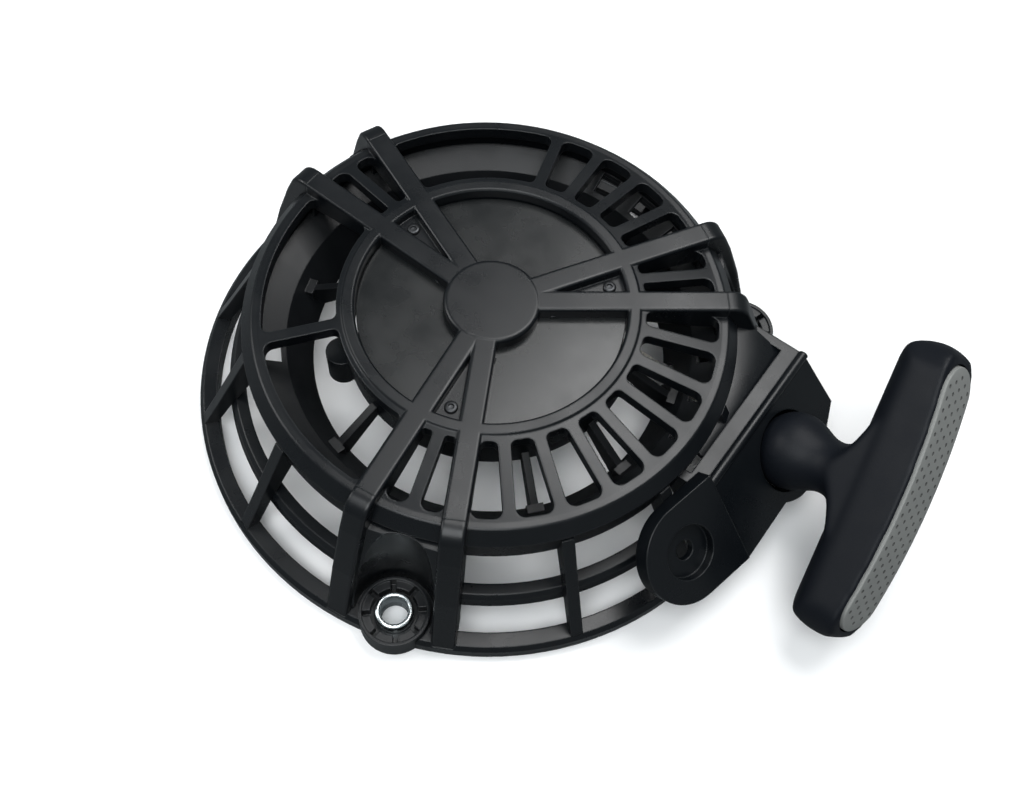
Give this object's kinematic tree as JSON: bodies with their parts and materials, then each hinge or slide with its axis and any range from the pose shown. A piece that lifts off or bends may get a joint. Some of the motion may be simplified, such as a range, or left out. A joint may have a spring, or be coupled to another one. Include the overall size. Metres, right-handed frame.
{
  "type": "recoil starter",
  "caption": "Pull-rope recoil starter: round open cage on bolted feet, reel with return spring and pawls inside, T-handle in a side seat.",
  "frame": {"origin": "on the reel's axis, on the plane that the feet and base ring rest on", "axes": "+Z away from the engine along the reel's axis; +X the way the rope is pulled, seen from above"},
  "size_m": [0.2275, 0.18, 0.0709],
  "materials": {
    "housing_plastic": "satin moulded black",
    "cover_plastic": "gloss black",
    "guide_plastic": "fine-grained black",
    "handle_rubber": "soft matt blue-black",
    "insert_plastic": "dimpled light grey",
    "zinc_steel": "bright zinc plate",
    "screw_steel": "blackened steel",
    "spring_steel": "blue-grey spring steel",
    "reel_plastic": "moulded nylon",
    "bush_bronze": "sintered bronze",
    "rope_fibre": "braided polyester",
    "pawl_steel": "hardened steel"
  },
  "bodies": {
    "housing": {"housing_crown": "housing_plastic", "housing_feet": "housing_plastic", "housing_base_ring": "housing_plastic", "housing_middle_ring": "housing_plastic", "housing_side_ribs": "housing_plastic", "housing_rope_guide": "housing_plastic", "spring_cover_plate": "cover_plastic", "cover_screws": "screw_steel", "mount_sleeves": "zinc_steel", "air_guide": "guide_plastic", "rope_eyelet": "zinc_steel", "recoil_spring": "spring_steel", "centre_screw": "zinc_steel", "retaining_washer": "zinc_steel", "friction_spring": "spring_steel", "rope_lead": "rope_fibre"},
    "reel": {"reel": "reel_plastic", "reel_bush": "bush_bronze", "rope_winding": "rope_fibre", "reel_knot": "rope_fibre", "pawl_pins": "pawl_steel"},
    "drive_plate": {"drive_plate": "zinc_steel"},
    "pawl_a": {"pawl_a": "pawl_steel"},
    "pawl_b": {"pawl_b": "pawl_steel"},
    "handle": {"handle_body": "handle_rubber", "grip_insert": "insert_plastic", "rope_stop": "zinc_steel", "handle_knot": "rope_fibre"}
  },
  "joints": [
    {"name": "reel_spin", "type": "hinge", "parent": "housing", "child": "reel", "pos_m": [0, 0, 0.024], "axis": [0, 0, 1], "range_deg": [-1800, 0], "stiffness_Nm_per_rad": 0.0064, "springref_deg": 1317.8},
    {"name": "handle_pull", "type": "slide", "parent": "housing", "child": "handle", "axis": [0.8784, -0.1234, 0.4617], "range_m": [0, 0.8013]},
    {"name": "drive_plate_turn", "type": "hinge", "parent": "reel", "child": "drive_plate", "pos_m": [0, 0, 0.0107], "axis": [0, 0, 1], "range_deg": [0, 28]},
    {"name": "pawl_a_swing", "type": "hinge", "parent": "reel", "child": "pawl_a", "pos_m": [0, 0.019, 0.015], "axis": [0, 0, 1], "range_deg": [0, 30.1]},
    {"name": "pawl_b_swing", "type": "hinge", "parent": "reel", "child": "pawl_b", "pos_m": [0, -0.019, 0.015], "axis": [0, 0, 1], "range_deg": [0, 30.1]}
  ],
  "couplings": [
    {"joint": "handle_pull", "follows": "reel_spin", "m_per_rad": -0.0255},
    {"joint": "pawl_a_swing", "follows": "drive_plate_turn", "ratio": 1.0714},
    {"joint": "pawl_b_swing", "follows": "drive_plate_turn", "ratio": 1.0714}
  ]
}
